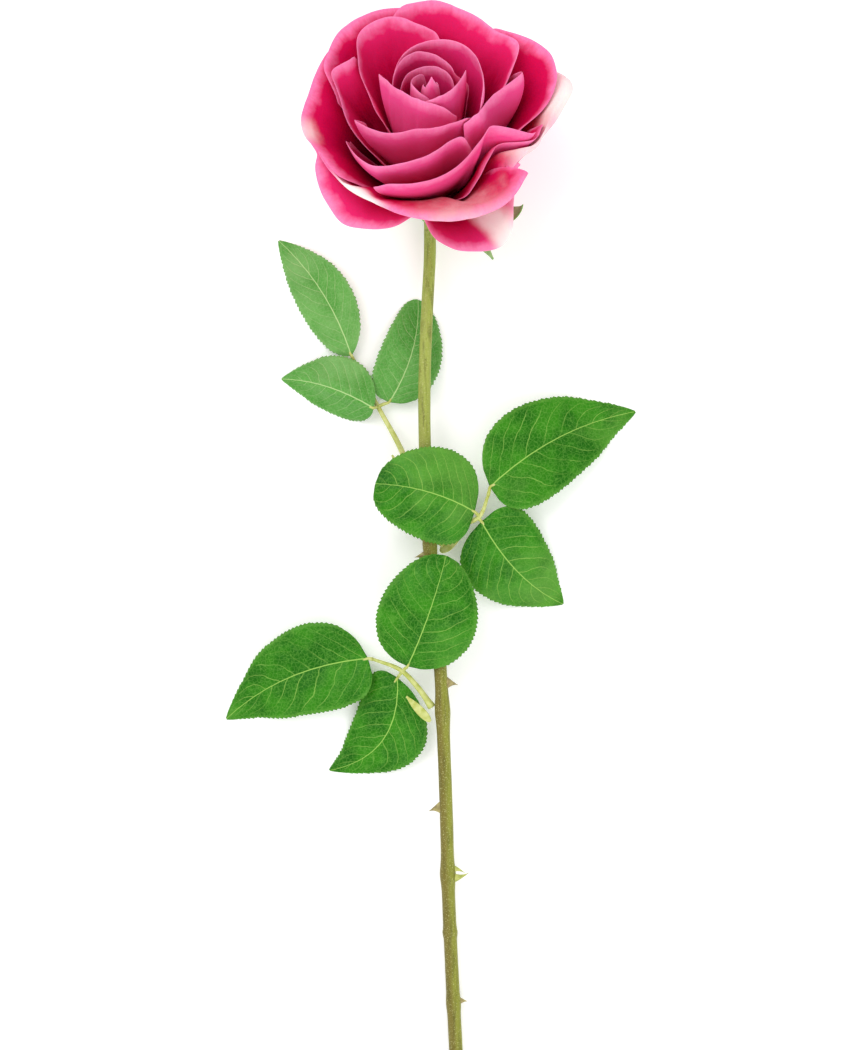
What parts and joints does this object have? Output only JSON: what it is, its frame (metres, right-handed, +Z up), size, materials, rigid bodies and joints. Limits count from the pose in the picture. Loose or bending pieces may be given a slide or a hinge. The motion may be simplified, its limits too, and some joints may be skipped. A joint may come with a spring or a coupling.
{
  "type": "cut rose",
  "caption": "Single cut rose with an open double bloom on a long, leafy, lightly thorned stem, lying on its side.",
  "frame": {"origin": "middle of the rose's footprint on the surface it lies on", "axes": "+Y along the stem towards the bloom, +Z up from the surface, +X to the right seen from above with the bloom away from the viewer"},
  "size_m": [0.1554, 0.416, 0.0777],
  "materials": {
    "petal_heart": "soft matte",
    "petal_middle": "soft matte",
    "petal_outer": "soft matte",
    "petal_back": "soft matte",
    "sepal": "satin",
    "stem": "satin",
    "thorn": "satin",
    "leaf": "satin",
    "leaf_stalk": "satin"
  },
  "bodies": {
    "root": {"leaf_stalk_lower": "leaf_stalk", "leaf_stalk_middle": "leaf_stalk", "leaf_stalk_upper": "leaf_stalk", "leaflet_lower_1": "leaf", "leaflet_lower_2": "leaf", "leaflet_lower_3": "leaf", "leaflet_middle_1": "leaf", "leaflet_middle_2": "leaf", "leaflet_middle_3": "leaf", "leaflet_upper_1": "leaf", "leaflet_upper_2": "leaf", "leaflet_upper_3": "leaf", "petal_01": "petal_heart", "petal_02": "petal_heart", "petal_03": "petal_heart", "petal_04": "petal_heart", "petal_05": "petal_heart", "petal_06": "petal_heart", "petal_07": "petal_middle", "petal_08": "petal_middle", "petal_09": "petal_middle", "petal_10": "petal_middle", "petal_11": "petal_middle", "petal_12": "petal_middle", "petal_13": "petal_middle", "petal_14": "petal_outer", "petal_15": "petal_outer", "petal_16": "petal_outer", "petal_17": "petal_outer", "petal_18": "petal_outer", "petal_19": "petal_outer", "petal_20": "petal_outer", "petal_21": "petal_back", "petal_22": "petal_back", "petal_23": "petal_back", "petal_24": "petal_back", "petal_25": "petal_back", "petal_26": "petal_back", "receptacle": "sepal", "sepal_1": "sepal", "sepal_2": "sepal", "sepal_3": "sepal", "sepal_4": "sepal", "sepal_5": "sepal", "side_bud": "leaf_stalk", "side_bud_scale": "leaf_stalk", "stem": "stem", "stipule_lower": "leaf_stalk", "stipule_middle": "leaf_stalk", "stipule_upper": "leaf_stalk", "thorn_1": "thorn", "thorn_2": "thorn", "thorn_3": "thorn", "thorn_4": "thorn"}
  },
  "joints": []
}
